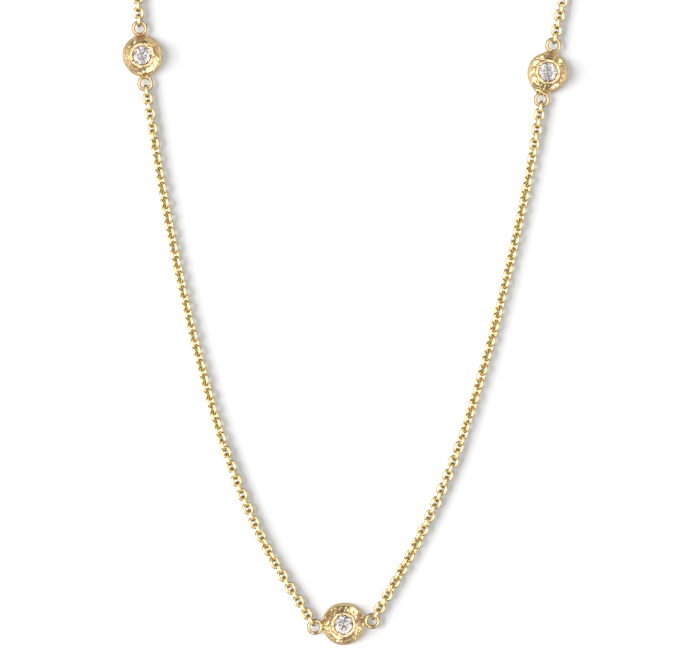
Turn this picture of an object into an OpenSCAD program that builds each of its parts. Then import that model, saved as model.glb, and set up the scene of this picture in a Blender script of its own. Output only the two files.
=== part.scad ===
// Station necklace, laid in an open loop on a flat surface.
// Three hammered round settings, each with one brilliant-cut stone and two soldered
// loops, sit along a fine cable chain that closes at the back with a ring clasp.
// The surface is the plane Z = 0, and +Y runs from the centre station to the clasp.
// The origin is the middle of the centre station's flat back.

/* [Stations] */
// Diameter of the two side stations
side_station_d = 5.6; // [5.4:0.1:6.4]
// Diameter of the centre station
centre_station_d = 5.9; // [5.4:0.1:6.6]
// Height of a station from its flat back to the top of its bezel lip
station_h = 2.4; // [2.3:0.05:2.8]
// Radius of the round lower edge of a station
edge_r = 0.65; // [0.4:0.05:0.8]
// Width of the flat lip outside the stone
lip_w = 0.4; // [0.25:0.05:0.5]
// How far the lip reaches over the edge of the stone
lip_cover = 0.08; // [0.04:0.01:0.12]
// Number of hammer marks on one dome
mark_count = 18; // [8:1:24]
// Depth of the deepest hammer mark
mark_depth = 0.13; // [0.05:0.01:0.16]

/* [Soldered loops] */
// Diameter of the hole in a loop
loop_hole_d = 1.38; // [1.2:0.02:1.8]
// Thickness of the loop's wire
loop_wire_d = 0.4; // [0.3:0.02:0.5]
// Radius of the solder neck where it meets the station
neck_r = 0.6; // [0.4:0.05:0.65]

/* [Stones] */
// Diameter of a stone at its girdle
stone_d = 2.7; // [2.2:0.05:2.9]
// Thickness of the girdle
girdle_t = 0.08; // [0.04:0.01:0.12]
// Slope of the crown, in degrees
crown_angle = 34; // [30:0.5:38]
// Slope of the pavilion, in degrees
pavilion_angle = 41; // [38:0.5:43]
// Gap between a stone and its setting
stone_gap = 0.05; // [0.03:0.01:0.08]

/* [Chain] */
// Width of one link
link_w = 1.4; // [1.3:0.02:1.6]
// Thickness of the link's wire
link_wire_d = 0.34; // [0.28:0.01:0.36]
// Distance from one link's centre to the next
link_pitch = 1.035; // [1:0.005:1.1]
// Slack between two links that hold each other
link_slack = 0.14; // [0.13:0.01:0.16]

/* [Clasp] */
// Outer diameter of the ring clasp
clasp_d = 5.5; // [5:0.1:7]
// Thickness of the clasp's tube
clasp_tube_d = 0.9; // [0.7:0.05:1]
// Diameter of the hole in the end ring that the clasp closes through
end_ring_hole_d = 1.7; // [1.6:0.05:2.2]
// How far the end ring leans up from the surface, in degrees
end_ring_lean = 55; // [50:1:75]

/* [Hidden] */
$fn = 48;

// Places of the stations: x, y, the direction of the line through the two loops, in
// degrees, and the direction where the first hammer mark falls
LEFT_STATION = [-27.9, 78.8, 96, 20];
CENTRE_STATION = [0, 0, 6, 75];
RIGHT_STATION = [28.3, 76.5, 78, 140];

// Place of the clasp's middle: x and y
CLASP_PLACE = [2, 175.4];

// Points that each stretch of chain passes through between its two ends, in millimetres:
// front left, front right, back left and back right, each from its side station
CHAIN_ROUTES = [
    [[-25.35, 61.5], [-22.8, 48.5], [-19.7, 35.5], [-16, 23], [-10.9, 11]],
    [[25.45, 61], [22.6, 48], [19.4, 35.5], [15.4, 23], [10, 11]],
    [[-29.2, 94], [-32.3, 107], [-35.3, 120], [-35.8, 134.5], [-31.5, 149], [-21.5, 162]],
    [[31.8, 93], [35.2, 106], [38, 119.5], [38.6, 134.5], [34.3, 149], [24.3, 162]],
];

// How the chain turns about its own line: share of the stretch from the side station, and
// degrees. At 0 every other link lies flat, and at 45 they all lean.
LEFT_TURNS = [
    [0, 0], [0.04, 0], [0.12, 42], [0.61, 45], [0.70, 2], [0.79, -3], [0.85, -34], [0.92, -2], [1, 0],
];
RIGHT_TURNS = [
    [0, 0], [0.04, 0], [0.12, -42], [0.60, -45], [0.69, -3], [0.78, 4], [0.84, 38], [0.92, 34], [1, 2],
];

// Proportions of the cut, as shares of the stone's radius: its table, the tips of the star
// facets above the girdle and the tips of the lower facets under it
TABLE_SHARE = 0.56;
STAR_SHARE = 0.76;
LOWER_SHARE = 0.28;
// Share of the crown that sits lower than the top of the lip
SUNK_SHARE = 0.85;

// Derived sizes of the stones
stone_r = stone_d / 2;
table_r = TABLE_SHARE * stone_r;
star_r = STAR_SHARE * stone_r;
lower_r = LOWER_SHARE * stone_r;
crown_h = (stone_r - table_r) * tan(crown_angle);
pavilion_h = stone_r * tan(pavilion_angle);
girdle_z = station_h - SUNK_SHARE * crown_h;

// Derived sizes of the stations and their loops
lip_r = stone_r + lip_w;
lip_hole_r = stone_r - lip_cover;
loop_outer_r = loop_hole_d / 2 + loop_wire_d;
loop_mean_r = (loop_hole_d + loop_wire_d) / 2;
loop_z = link_w / 2;
// How deep a loop and its solder neck reach into the station
solder_bite = 0.05;
neck_sink = 0.35;
loop_reach = loop_outer_r - solder_bite;

// Derived sizes of the links
link_mean_r = (link_w - link_wire_d) / 2;
link_hole_l = link_pitch + link_slack;
link_l = link_hole_l + 2 * link_wire_d;
bar_l = link_l - link_w;
end_link_reach = link_hole_l / 2 - link_slack - loop_wire_d / 2;

// Derived sizes of the clasp, which lies with its eye at the height of the chain and its
// other side on the end ring
clasp_mean_r = (clasp_d - clasp_tube_d) / 2;
eye_reach = clasp_d / 2 + loop_reach;
end_ring_mean_r = (end_ring_hole_d + loop_wire_d) / 2;
end_ring_reach = clasp_mean_r + end_ring_hole_d / 2 - link_slack - clasp_tube_d / 2;
end_ring_z = end_ring_mean_r * sin(end_ring_lean) + loop_wire_d / 2;
clasp_tilt = asin((end_ring_z - loop_z) / (eye_reach + clasp_mean_r));
eye_place = CLASP_PLACE - [eye_reach * cos(clasp_tilt), 0];
end_ring_place = CLASP_PLACE + [end_ring_reach, 0];
chain_end_place = end_ring_place + [end_ring_mean_r - loop_mean_r, 0];

// Length over which the chain climbs to the end ring
CLIMB_RUN = 6;

// Turn from one hammer mark to the next, which spreads them evenly, and how much their
// depths differ from one to the next
GOLDEN_ANGLE = 137.5;
MARK_SWING = 100;

// Cosine of half the widest angle that one mark spans, seen from the ball's middle
WIDEST_MARK = 0.5;

// Sides of a dome, and its steps over the round edge and from there up to the lip
DOME_SIDES = 40;
EDGE_STEPS = 3;
DOME_STEPS = 9;

// Turn that keeps the start of the eye's ring away from the clasp
EYE_TURN = 90;

// Steps between two points of a route, and the distance ahead and behind that a heading is
// measured over
CURVE_STEPS = 12;
HEADING_RUN = 0.3;

// Sides of a plain tube, and the distance between its rings in diameters
TUBE_SIDES = 8;
TUBE_RING_STEP = 2.5;

// Point between b and c, at the share t of the way, on a smooth curve through a, b, c and d
function spline_point(a, b, c, d, t) =
    0.5 * (2 * b + (c - a) * t + (2 * a - 5 * b + 4 * c - d) * t * t
        + (3 * b - a - 3 * c + d) * t * t * t);

// Smooth curve through a list of points
function curve(points) =
    let (last = len(points) - 1)
    [
        for (i = [0 : last - 1], k = [0 : CURVE_STEPS - 1])
            spline_point(
                i == 0 ? 2 * points[0] - points[1] : points[i - 1],
                points[i],
                points[i + 1],
                i == last - 1 ? 2 * points[last] - points[last - 1] : points[i + 2],
                k / CURVE_STEPS),
        points[last],
    ];

// Length of the curve up to each of its points
function lengths(points) =
    let (steps = [for (i = [1 : len(points) - 1]) norm(points[i] - points[i - 1])])
    [for (i = 0, s = 0; i < len(points); s = s + (i < len(steps) ? steps[i] : 0), i = i + 1) s];

// Curve as a table: length so far, x and y
function measured(points) =
    let (path = curve(points), runs = lengths(path))
    [for (i = [0 : len(path) - 1]) [runs[i], path[i].x, path[i].y]];

// Length of a measured line, and the place and the heading at the length s along it
function run_of(line) = line[len(line) - 1][0];
function place_on(line, s) =
    [lookup(s, [for (p = line) [p[0], p[1]]]), lookup(s, [for (p = line) [p[0], p[2]]])];
function heading_on(line, s) =
    let (step = place_on(line, s + HEADING_RUN) - place_on(line, s - HEADING_RUN))
    atan2(step.y, step.x);

// Ball that a station's dome is cut from: it passes through the lip and the round edge
function ball_z(d) =
    (lip_r * lip_r + station_h * station_h - d * d / 4 - edge_r * edge_r)
    / (2 * (station_h - edge_r));
function ball_r(d) = norm([d / 2, edge_r - ball_z(d)]);
function lip_slope(d) = asin(lip_r / ball_r(d));
function edge_slope(d) = asin(d / 2 / ball_r(d));

// Middle of a station's loop: side is 1 ahead of the station, -1 behind it
function loop_place(place, d, side) =
    [place.x, place.y] + side * (d / 2 + loop_reach) * [cos(place[2]), sin(place[2])];

// Height of the chain's line over the surface for links that have turned by this angle
function rest_height(turn) =
    link_mean_r * max(abs(sin(turn)), abs(cos(turn))) + link_wire_d / 2;

// Front stretches run from a side station's lower loop to the centre station
front_left_line = measured(concat(
    [loop_place(LEFT_STATION, side_station_d, -1)],
    CHAIN_ROUTES[0],
    [loop_place(CENTRE_STATION, centre_station_d, -1)]));
front_right_line = measured(concat(
    [loop_place(RIGHT_STATION, side_station_d, -1)],
    CHAIN_ROUTES[1],
    [loop_place(CENTRE_STATION, centre_station_d, 1)]));

// Back stretches run from a side station's upper loop to the clasp or its end ring
back_left_line = measured(concat(
    [loop_place(LEFT_STATION, side_station_d, 1)],
    CHAIN_ROUTES[2],
    [eye_place]));
back_right_line = measured(concat(
    [loop_place(RIGHT_STATION, side_station_d, 1)],
    CHAIN_ROUTES[3],
    [chain_end_place]));

// Length of the whole closed necklace
necklace_l = run_of(front_left_line) + run_of(front_right_line)
    + run_of(back_left_line) + run_of(back_right_line)
    + 2 * side_station_d + centre_station_d + 6 * loop_reach
    + eye_reach + end_ring_reach + end_ring_mean_r - loop_mean_r;
echo(necklace_length = necklace_l);

// Points of a ring of this many corners, the first at this many degrees
function ring(count, r, z, first = 0) =
    [for (k = [0 : count - 1]) let (a = first + 360 * k / count) [r * cos(a), r * sin(a), z]];

// Closed solid through rings of the same number of points, with its two ends flat
module stacked_rings(rings) {
    sides = len(rings[0]);
    last = len(rings) - 1;
    walls = [
        for (i = [0 : last - 1], k = [0 : sides - 1])
            let (a = i * sides + k, b = i * sides + (k + 1) % sides)
            each [[a, b + sides, b], [a, a + sides, b + sides]],
    ];
    first_end = [for (k = [0 : sides - 1]) k];
    last_end = [for (k = [sides - 1 : -1 : 0]) last * sides + k];
    polyhedron([for (points = rings) each points], concat([first_end], walls, [last_end]));
}

// Round wire bent into a ring, in the plane Z = 0
module wire_ring(mean_r, wire_d) {
    rotate_extrude()
        translate([mean_r, 0])
            circle(d = wire_d);
}

// One link: two half rings and two straight bars, along X, in the plane Y = 0
module link() {
    rotate([90, 0, 0]) {
        for (end = [0, 180])
            rotate([0, 0, end])
                translate([bar_l / 2, 0, 0])
                    rotate([0, 0, -90])
                        rotate_extrude(angle = 180)
                            translate([link_mean_r, 0])
                                circle(d = link_wire_d);
        for (side = [-1, 1])
            translate([-bar_l / 2, side * link_mean_r, 0])
                rotate([0, 90, 0])
                    cylinder(d = link_wire_d, h = bar_l);
    }
}

// Interlocked links along a line, from loop to loop. An odd number of links, so that the
// first and the last both stand upright in their flat loops.
module link_chain(line, turns) {
    start = loop_mean_r + end_link_reach;
    stretch = run_of(line) - 2 * start;
    steps = 2 * round(stretch / link_pitch / 2);
    for (i = [0 : steps]) {
        share = i / steps;
        s = start + share * stretch;
        turn = lookup(share, turns);
        at = place_on(line, s);
        translate([at.x, at.y, rest_height(turn)])
            rotate([0, 0, heading_on(line, s)])
                rotate([turn + 90 * (i % 2), 0, 0])
                    link();
    }
}

// Plain round tube of the chain's width along a line, clear of the loops at its ends. Its far
// end climbs to this height over the rest of it.
module chain_tube(line, climb) {
    start = loop_outer_r + link_slack;
    stretch = run_of(line) - 2 * start;
    last = round(stretch / (TUBE_RING_STEP * link_w));
    stacked_rings([
        for (i = [0 : last])
            let (
                s = start + i / last * stretch,
                at = place_on(line, s),
                heading = heading_on(line, s),
                lift = climb * max(0, 1 - (run_of(line) - s) / CLIMB_RUN))
            [for (p = ring(TUBE_SIDES, link_w / 2, 0))
                [at.x - p.x * sin(heading), at.y + p.x * cos(heading), link_w / 2 + p.y + lift]],
    ]);
}

// Direction at this slope from straight up and this angle round the dome
function towards(slope, a) = [sin(slope) * cos(a), sin(slope) * sin(a), cos(slope)];

// How far the dome's skin is from its ball's middle in this direction: each hammer mark is a
// flat that cuts the ball off a little lower
function skin_r(d, marks, direction) =
    min([for (m = concat([[direction, 0]], marks))
        (ball_r(d) - m[1]) / max(m[0] * direction, WIDEST_MARK)]);

// Hammer marks in a spiral from the lip outwards: the direction and the depth of each
function hammer_marks(d, first) =
    [for (i = [0.5 : mark_count])
        let (slope = lip_slope(d) + (edge_slope(d) - lip_slope(d)) * i / mark_count)
        [towards(slope, first + GOLDEN_ANGLE * i), mark_depth * (3 + 2 * sin(MARK_SWING * i)) / 5]];

// Solid hammered dome with a flat back, a round lower edge and a flat lip
module hammered_dome(d, first) {
    marks = hammer_marks(d, first);
    edge = [for (i = [0 : EDGE_STEPS])
        let (a = 90 * i / EDGE_STEPS)
        ring(DOME_SIDES, d / 2 - edge_r + edge_r * sin(a), edge_r - edge_r * cos(a))];
    skin = [for (i = [1 : DOME_STEPS - 1])
        let (slope = edge_slope(d) + (lip_slope(d) - edge_slope(d)) * i / DOME_STEPS)
        [for (k = [0 : DOME_SIDES - 1])
            let (direction = towards(slope, 360 * k / DOME_SIDES))
            [0, 0, ball_z(d)] + direction * skin_r(d, marks, direction)]];
    rings = concat(edge, skin, [ring(DOME_SIDES, lip_r, station_h)]);
    stacked_rings(rings);
}

// Hollow that the stone sits in, open at the top and narrower under the lip
module stone_seat() {
    floor_z = girdle_z - girdle_t - stone_gap;
    seat_r = stone_r + stone_gap;
    under_lip_z = girdle_z + lip_cover * tan(crown_angle) + stone_gap;
    tip_z = floor_z - seat_r * tan(pavilion_angle);
    above_z = station_h + 1;
    rotate_extrude()
        polygon([
            [0, tip_z],
            [seat_r, floor_z],
            [seat_r, under_lip_z],
            [lip_hole_r, under_lip_z],
            [lip_hole_r, above_z],
            [0, above_z],
        ]);
}

// Wire loop and its solder neck, ahead of the station
module soldered_loop(d) {
    translate([d / 2 + loop_reach, 0, loop_z])
        wire_ring(loop_mean_r, loop_wire_d);
    translate([d / 2 - neck_sink, 0, loop_z])
        rotate([0, 90, 0])
            cylinder(r1 = neck_r, r2 = loop_wire_d / 2, h = neck_sink + loop_wire_d - solder_bite);
}

// One hammered setting with its two soldered loops
module station(place, d) {
    color("gold")
        translate([place.x, place.y, 0])
            rotate([0, 0, place[2]]) {
                difference() {
                    hammered_dome(d, place[3]);
                    stone_seat();
                }
                for (side = [0, 180])
                    rotate([0, 0, side])
                        soldered_loop(d);
            }
}

// Round brilliant: an eight-sided table, 24 crown facets, a girdle and 24 facets below it
module brilliant() {
    half = 360 / 16;
    top_z = girdle_z + crown_h;
    bottom_z = girdle_z - girdle_t;
    culet_z = bottom_z - pavilion_h;
    star_z = top_z - (star_r * cos(half) - table_r) * tan(crown_angle);
    lower_z = culet_z + lower_r * cos(half) * tan(pavilion_angle);
    points = concat(
        ring(8, table_r, top_z),
        ring(8, star_r, star_z, half),
        ring(16, stone_r, girdle_z),
        ring(16, stone_r, bottom_z),
        ring(8, lower_r, lower_z, half),
        [[0, 0, culet_z]]);
    // Where each ring begins in the list of points
    table = 0;
    star = 8;
    upper = 16;
    lower = 32;
    tip = 48;
    culet = 56;
    eight = [0 : 7];
    polyhedron(points, concat(
        [[for (k = eight) table + 7 - k]],
        [for (k = eight) [table + k, table + (k + 1) % 8, star + k]],
        [for (k = eight) [table + k, star + k, upper + 2 * k, star + (k + 7) % 8]],
        [for (k = eight) [star + k, upper + 2 * k + 1, upper + 2 * k]],
        [for (k = eight) [star + k, upper + (2 * k + 2) % 16, upper + 2 * k + 1]],
        [for (k = [0 : 15]) [upper + k, upper + (k + 1) % 16, lower + (k + 1) % 16, lower + k]],
        [for (k = eight) [tip + k, lower + 2 * k, lower + 2 * k + 1]],
        [for (k = eight) [tip + k, lower + 2 * k + 1, lower + (2 * k + 2) % 16]],
        [for (k = eight) [culet, tip + (k + 7) % 8, lower + 2 * k, tip + k]]));
}

module stone(place) {
    color("white")
        translate([place.x, place.y, 0])
            rotate([0, 0, place[3]])
                brilliant();
}

// Ring clasp, closed, with the eye that holds the left end of the chain
module clasp() {
    color("gold")
        translate([eye_place.x, eye_place.y, loop_z])
            rotate([0, -clasp_tilt, 0]) {
                rotate([0, 0, EYE_TURN])
                    wire_ring(loop_mean_r, loop_wire_d);
                translate([eye_reach, 0, 0])
                    wire_ring(clasp_mean_r, clasp_tube_d);
            }
}

// Ring at the right end of the chain, leaning through the clasp
module end_ring() {
    color("gold")
        translate([end_ring_place.x, end_ring_place.y, end_ring_z])
            rotate([end_ring_lean, 0, 0])
                wire_ring(end_ring_mean_r, loop_wire_d);
}

station(LEFT_STATION, side_station_d);  // station_left
station(CENTRE_STATION, centre_station_d);  // station_centre
station(RIGHT_STATION, side_station_d);  // station_right
stone(LEFT_STATION);  // stone_left
stone(CENTRE_STATION);  // stone_centre
stone(RIGHT_STATION);  // stone_right
color("gold") link_chain(front_left_line, LEFT_TURNS);  // chain_front_left
color("gold") link_chain(front_right_line, RIGHT_TURNS);  // chain_front_right
color("gold") chain_tube(back_left_line, 0);  // chain_back_left
color("gold") chain_tube(back_right_line, end_ring_z - loop_z);  // chain_back_right
clasp();
end_ring();
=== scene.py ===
"""Looks of the station necklace: gold chain, hammered settings, cut stones and the studio.

Sizes are in millimetres in the classes and become metres where a mesh is made. The frame is
the part's own: the surface that the necklace lies on is the plane Z = 0, +Y runs from the
centre station to the clasp, and the origin is the middle of the centre station's flat back.
"""

import logging
import math
import random
from collections.abc import Mapping, Sequence
from dataclasses import dataclass, field
from enum import Enum

import bmesh
import bpy
from mathutils import Matrix, Vector, noise


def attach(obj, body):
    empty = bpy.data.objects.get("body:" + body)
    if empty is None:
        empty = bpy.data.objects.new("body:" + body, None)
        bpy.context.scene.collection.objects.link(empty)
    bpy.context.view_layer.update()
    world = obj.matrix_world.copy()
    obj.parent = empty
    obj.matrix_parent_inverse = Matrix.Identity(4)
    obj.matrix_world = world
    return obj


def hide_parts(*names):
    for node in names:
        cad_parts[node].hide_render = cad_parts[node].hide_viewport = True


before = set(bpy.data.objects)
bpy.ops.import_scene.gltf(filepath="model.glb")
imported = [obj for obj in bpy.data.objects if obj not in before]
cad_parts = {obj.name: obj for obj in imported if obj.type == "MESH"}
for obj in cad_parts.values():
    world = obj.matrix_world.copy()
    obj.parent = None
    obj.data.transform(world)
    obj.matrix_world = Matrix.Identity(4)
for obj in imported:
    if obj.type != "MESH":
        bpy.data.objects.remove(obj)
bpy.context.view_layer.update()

MM = 0.001
# Name of the mesh value that says how much painted shade a surface gets, from 0 to 1
PAINTED_SHADE = "painted_shade"
log = logging.getLogger("necklace")

Colour = tuple[float, float, float]

# Loops of the stations and eye of the clasp. The outer edge sinks a little into what carries it.
LOOP_WIRE_D = 0.46
LOOP_MEAN_R = 0.87
LOOP_SINK = 0.05
LOOP_REACH = LOOP_MEAN_R + LOOP_WIRE_D / 2 - LOOP_SINK
LOOP_Z = 0.7

# Clasp, end ring, and the play between a link and what it hangs in
CLASP_PLACE = Vector((2.0, 175.4))
CLASP_D = 5.5
CLASP_TUBE_D = 0.9
END_RING_MEAN_R = 1.05
END_RING_LEAN = math.radians(55)
LINK_SLACK = 0.14


def clamp(value: float, low: float = 0.0, high: float = 1.0) -> float:
    """Return the value, held between its two limits."""
    return min(high, max(low, value))


def bell(off: float, width: float) -> float:
    """Return the height of a smooth bell of height 1, this far off its middle."""
    return math.exp(-((off / width) ** 2))


def unit(angle: float) -> Vector:
    """Return the flat unit vector at this many degrees from +X."""
    return Vector((math.cos(math.radians(angle)), math.sin(math.radians(angle))))


def towards(slope: float, angle: float) -> Vector:
    """Return the direction at this slope from straight up and this angle, in degrees."""
    flat = unit(angle) * math.sin(math.radians(slope))
    return Vector((flat.x, flat.y, math.cos(math.radians(slope))))


def lookup(table: Sequence[tuple[float, float]], key: float) -> float:
    """Read a table of pairs at a key, straight between its rows.

    Args:
        table: Pairs in rising order of their first value.
        key: Where to read it.

    Returns:
        The second value there, or that of the nearest end outside the table.
    """
    if key <= table[0][0]:
        return table[0][1]
    for (a, va), (b, vb) in zip(table, table[1:]):
        if key <= b:
            return va + (vb - va) * (key - a) / (b - a)
    return table[-1][1]


def as_mesh(name: str, bm: bmesh.types.BMesh) -> bpy.types.Mesh:
    """Turn an edited mesh into a plain one.

    Args:
        name: Name of the mesh.
        bm: The edited mesh, which is freed.

    Returns:
        The plain mesh.
    """
    mesh = bpy.data.meshes.new(name)
    bm.to_mesh(mesh)
    bm.free()
    return mesh


def shown(name: str, data: bpy.types.ID) -> bpy.types.Object:
    """Put a mesh, a light or a camera in the scene.

    Args:
        name: Name of the object.
        data: What it shows.

    Returns:
        The object.
    """
    thing = bpy.data.objects.new(name, data)
    bpy.context.scene.collection.objects.link(thing)
    return thing


def finished(name: str, bm: bmesh.types.BMesh, material: bpy.types.Material) -> bpy.types.Object:
    """Turn a mesh in millimetres into a piece of the necklace.

    Args:
        name: Name of the piece.
        bm: Its mesh, which is freed.
        material: Its finish.

    Returns:
        The object, at the origin, riding on the necklace's one body.
    """
    bmesh.ops.recalc_face_normals(bm, faces=bm.faces)
    bmesh.ops.scale(bm, vec=(MM, MM, MM), verts=bm.verts)
    mesh = as_mesh(name, bm)
    mesh.materials.append(material)
    mesh.shade_smooth()
    piece = shown(name, mesh)
    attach(piece, "root")
    return piece


def circle(
    bm: bmesh.types.BMesh, radius: float, sides: int, place: Matrix
) -> list[bmesh.types.BMVert | bmesh.types.BMEdge]:
    """Add a circle, as the section that a wire is turned from.

    Args:
        bm: Mesh that it goes into.
        radius: Its radius.
        sides: Its sides.
        place: Where it lies.

    Returns:
        Its vertices and then its edges, always in the same order.
    """
    verts = bmesh.ops.create_circle(bm, segments=sides, radius=radius, matrix=place)["verts"]
    return [*verts, *dict.fromkeys(edge for vert in verts for edge in vert.link_edges)]


def wire_ring(
    bm: bmesh.types.BMesh, mean_r: float, wire_d: float, sides: int = 16, steps: int = 64
) -> list[bmesh.types.BMVert]:
    """Add a closed ring of round wire, flat at the origin.

    Args:
        bm: Mesh that the ring goes into.
        mean_r: Radius of the wire's middle line.
        wire_d: Diameter of the wire.
        sides: Sides of the wire.
        steps: Steps round the ring.

    Returns:
        The ring's vertices.
    """
    before = set(bm.verts)
    place = Matrix.Translation((mean_r, 0, 0)) @ Matrix.Rotation(math.pi / 2, 4, "X")
    bmesh.ops.spin(
        bm, geom=circle(bm, wire_d / 2, sides, place), cent=(0, 0, 0), axis=(0, 0, 1),
        dvec=(0, 0, 0), angle=math.tau, steps=steps, use_merge=True, use_duplicate=False,
    )
    return [vert for vert in bm.verts if vert not in before]


class Wall(Enum):
    """Parts of the studio, from under the table to overhead.

    Each value is the sine of the part's height over the table, and its tone.
    """

    UNDER = (-1.0, 0.24)
    NEAR = (-0.72, 0.6)
    TABLE = (-0.42, 0.76)
    EDGE = (-0.12, 0.6)
    HORIZON = (0.04, 0.36)
    LOW = (0.2, 0.24)
    UPPER = (0.5, 0.24)
    HIGH = (0.74, 0.58)
    CEILING = (0.965, 0.47)
    ZENITH = (1.0, 0.26)


@dataclass(frozen=True)
class Graph:
    """The nodes of one material or of the studio's walls.

    Attributes:
        tree: Node tree that they are in.
    """

    tree: bpy.types.NodeTree

    def add(
        self, kind: str, values: Mapping[str | int, float | Sequence[float]] | None = None
    ) -> bpy.types.Node:
        """Add a node.

        Args:
            kind: Its type.
            values: Constants of its inputs, by name or number.

        Returns:
            The node.
        """
        node = self.tree.nodes.new(kind)
        for socket, value in (values or {}).items():
            node.inputs[socket].default_value = value
        return node

    def join(self, source: bpy.types.NodeSocket, target: bpy.types.NodeSocket) -> None:
        """Lead an output into an input."""
        self.tree.links.new(source, target)

    def grain(self, size: float, detail: float = 2.0) -> bpy.types.NodeSocket:
        """Add smooth noise that stays fixed to the object.

        Args:
            size: Size of its patches, in millimetres.
            detail: How many finer layers it has.

        Returns:
            The noise, from 0 to 1.
        """
        place = self.add("ShaderNodeTexCoord")
        texture = self.add("ShaderNodeTexNoise", {"Scale": 1 / (size * MM), "Detail": detail})
        self.join(place.outputs["Object"], texture.inputs["Vector"])
        return texture.outputs["Fac"]

    def ramp(
        self, value: bpy.types.NodeSocket, low: tuple[float, Colour], high: tuple[float, Colour]
    ) -> bpy.types.NodeSocket:
        """Turn a value into a colour between two.

        Args:
            value: What the colour follows.
            low: Value up to which the first colour holds, and that colour.
            high: Value from which the second colour holds, and that colour.

        Returns:
            The colour.
        """
        colours = self.add("ShaderNodeValToRGB")
        for stop, (position, colour) in zip(colours.color_ramp.elements, (low, high)):
            stop.position = position
            stop.color = (*colour, 1)
        self.join(value, colours.inputs["Fac"])
        return colours.outputs["Color"]


def blank(name: str) -> tuple[bpy.types.Material, Graph, bpy.types.Node]:
    """Make a material with one plain shader.

    Args:
        name: Name of the material.

    Returns:
        The material, its nodes and its shader.
    """
    material = bpy.data.materials.new(name)
    material.use_nodes = True
    return material, Graph(material.node_tree), material.node_tree.nodes["Principled BSDF"]


@dataclass(frozen=True)
class GoldFinish:
    """Polished yellow gold, with soft patches of colour, fine wear and, where the mesh asks for it,
    painted shade.

    Attributes:
        name: Name of the material.
        base: Main colour.
        warm: Colour of the pinker patches.
        roughness: Lowest and highest roughness.
        patch: Size of the colour patches, in millimetres.
        patch_edge: Noise up to which a patch is warm, and from which it has the main colour.
        relief: Depth of the fine bumps, in millimetres.
        grain: Size of the fine bumps, in millimetres.
        wear: Size of the rougher spots, as a share of the bumps'.
        wear_edge: Noise up to which the gold is smoothest, and from which it is roughest.
        edge: Share of the light that it mirrors where it is seen at a glancing angle.
        painted_shade: Colour of the painted shade, where the mesh asks for it, if anywhere.
    """

    name: str
    base: Colour = (0.71, 0.55, 0.28)
    warm: Colour = (0.78, 0.51, 0.33)
    roughness: tuple[float, float] = (0.08, 0.2)
    patch: float = 1.6
    patch_edge: tuple[float, float] = (0.36, 0.58)
    relief: float = 0.0015
    grain: float = 0.4
    wear: float = 1 / 2.2
    wear_edge: tuple[float, float] = (0.35, 0.65)
    edge: Colour = (0.84, 0.72, 0.46)
    painted_shade: Colour | None = None

    def colour(self, graph: Graph) -> bpy.types.NodeSocket:
        """Draw up the gold's colour.

        Args:
            graph: Nodes of the material.

        Returns:
            The colour, darkened by painted shade where the mesh says so.
        """
        warm_to, base_from = self.patch_edge
        unshaded = graph.ramp(graph.grain(self.patch), (warm_to, self.warm), (base_from, self.base))
        if not self.painted_shade:
            return unshaded
        # Painted shade: the colour darkens towards the shade colour as far as the mesh's value says
        shade_amount = graph.add("ShaderNodeAttribute")
        shade_amount.attribute_name = PAINTED_SHADE
        darker = graph.add("ShaderNodeMix")
        darker.data_type = "RGBA"
        darker.inputs["B"].default_value = (*self.painted_shade, 1)
        graph.join(shade_amount.outputs["Fac"], darker.inputs["Factor"])
        graph.join(unshaded, darker.inputs["A"])
        return darker.outputs["Result"]

    def make(self) -> bpy.types.Material:
        """Build the material.

        Returns:
            The material of this finish.
        """
        material, graph, shader = blank(self.name)
        shader.inputs["Metallic"].default_value = 1.0
        shader.inputs["Specular Tint"].default_value = (*self.edge, 1)
        graph.join(self.colour(graph), shader.inputs["Base Color"])
        spread = graph.add("ShaderNodeMapRange", {
            "From Min": self.wear_edge[0], "From Max": self.wear_edge[1],
            "To Min": self.roughness[0], "To Max": self.roughness[1],
        })
        graph.join(graph.grain(self.grain * self.wear, detail=4.0), spread.inputs["Value"])
        graph.join(spread.outputs["Result"], shader.inputs["Roughness"])
        bump = graph.add("ShaderNodeBump", {"Strength": 1.0, "Distance": self.relief * MM})
        graph.join(graph.grain(self.grain), bump.inputs["Height"])
        graph.join(bump.outputs["Normal"], shader.inputs["Normal"])
        return material


class Gold(Enum):
    """The three golds of the necklace."""

    # The chain's and the stations' golds are darkened with painted shade where their meshes ask for
    # it.
    CHAIN = GoldFinish(
        "chain_gold", (0.84, 0.7, 0.385), (0.86, 0.665, 0.37), (0.05, 0.12), relief=0.003,
        grain=0.35, painted_shade=(0.2, 0.125, 0.02),
    )
    STATION = GoldFinish("hammered_gold", painted_shade=(0.3, 0.19, 0.07))
    CLASP = GoldFinish("clasp_gold", relief=0.003)


@dataclass(frozen=True)
class StoneFinish:
    """Clear cut stone.

    Attributes:
        name: Name of the material.
        tint: Faint colour of the glass.
        pale: Colour of its paler patches.
        patch: Size of the patches, in millimetres.
        bending: Index of refraction.
        clearness: Share of the light that goes through instead of being scattered.
    """

    name: str = "clear_stone"
    tint: Colour = (0.42, 0.37, 0.33)
    pale: Colour = (0.6, 0.57, 0.57)
    patch: float = 0.9
    bending: float = 2.42
    clearness: float = 0.97

    def make(self) -> bpy.types.Material:
        """Build the material.

        Returns:
            The material of this finish.
        """
        material, graph, shader = blank(self.name)
        shader.inputs["Roughness"].default_value = 0.0
        shader.inputs["IOR"].default_value = self.bending
        shader.inputs["Transmission Weight"].default_value = self.clearness
        colour = graph.ramp(graph.grain(self.patch), (0.0, self.tint), (1.0, self.pale))
        graph.join(colour, shader.inputs["Base Color"])
        return material


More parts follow.
